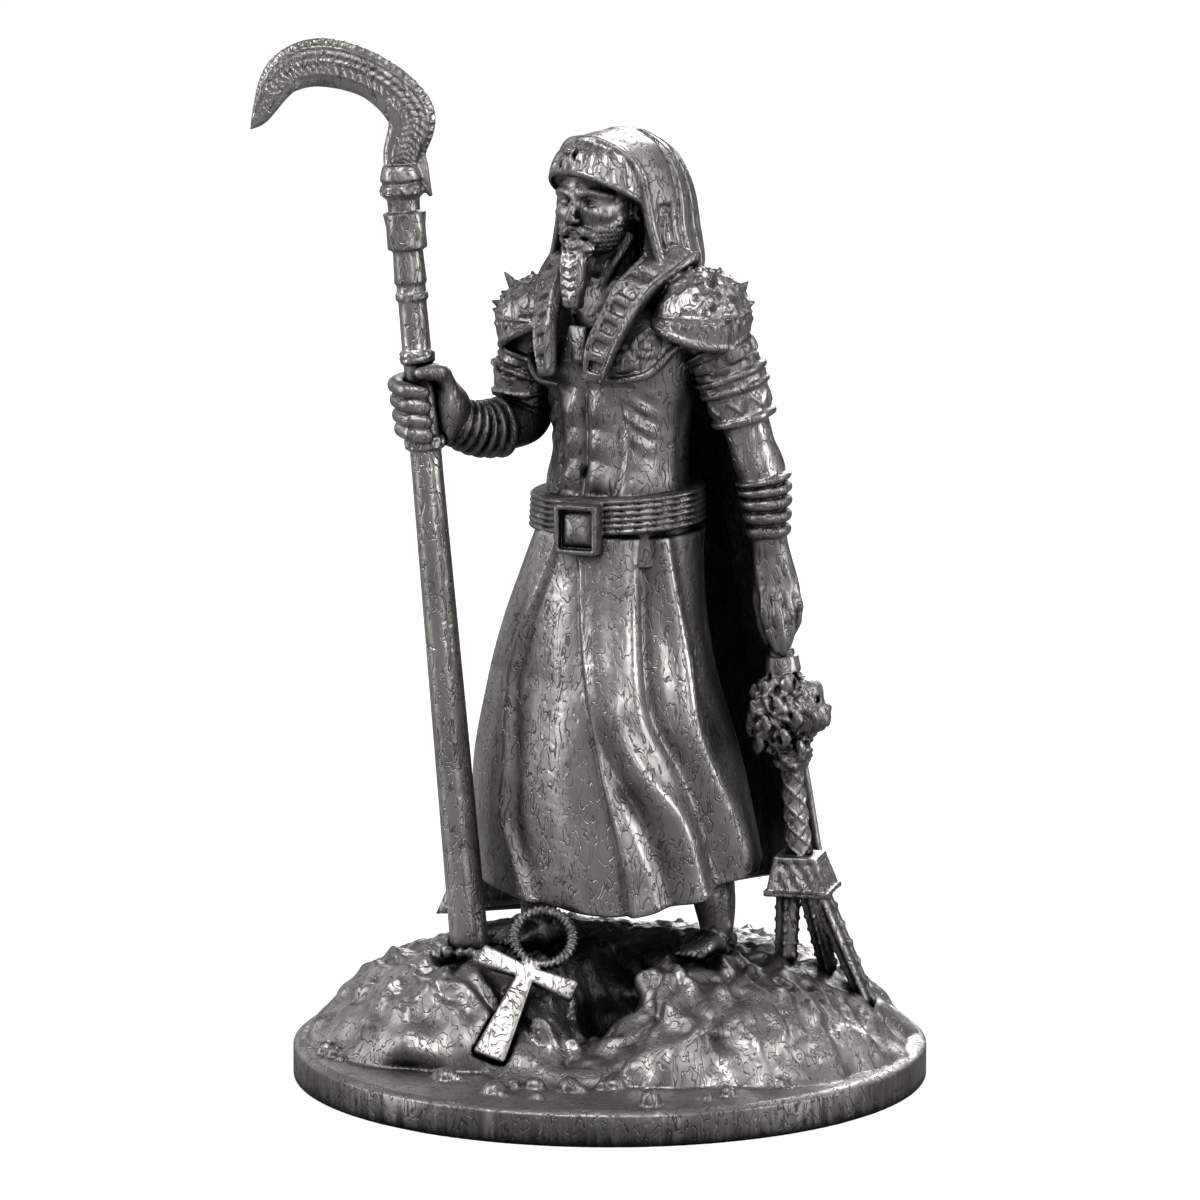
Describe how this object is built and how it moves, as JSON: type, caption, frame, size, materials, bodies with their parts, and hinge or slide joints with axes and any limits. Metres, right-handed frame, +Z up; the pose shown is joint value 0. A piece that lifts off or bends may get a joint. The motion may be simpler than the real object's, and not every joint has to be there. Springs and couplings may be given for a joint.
{
  "type": "deity statuette",
  "caption": "Cast metal statuette of a striding Egyptian god-king with hooked staff, flail and ankh on a round rocky plinth.",
  "frame": {"origin": "centre of the plinth's flat underside", "axes": "+Z up; the figure faces -Y and its left side is +X"},
  "size_m": [0.055, 0.055, 0.0901],
  "materials": {
    "base_metal": "antiqued cast pewter, dark in the hollows, dull on the rock",
    "figure_metal": "antiqued cast pewter, dark in the hollows, polished on the high places",
    "staff_metal": "antiqued cast pewter, polished shaft",
    "flail_metal": "antiqued cast pewter, dark in the carving",
    "ankh_metal": "antiqued cast pewter, satin faces"
  },
  "bodies": {
    "root": {"base": "base_metal", "figure": "figure_metal", "staff": "staff_metal", "flail": "flail_metal", "ankh": "ankh_metal"}
  },
  "joints": []
}
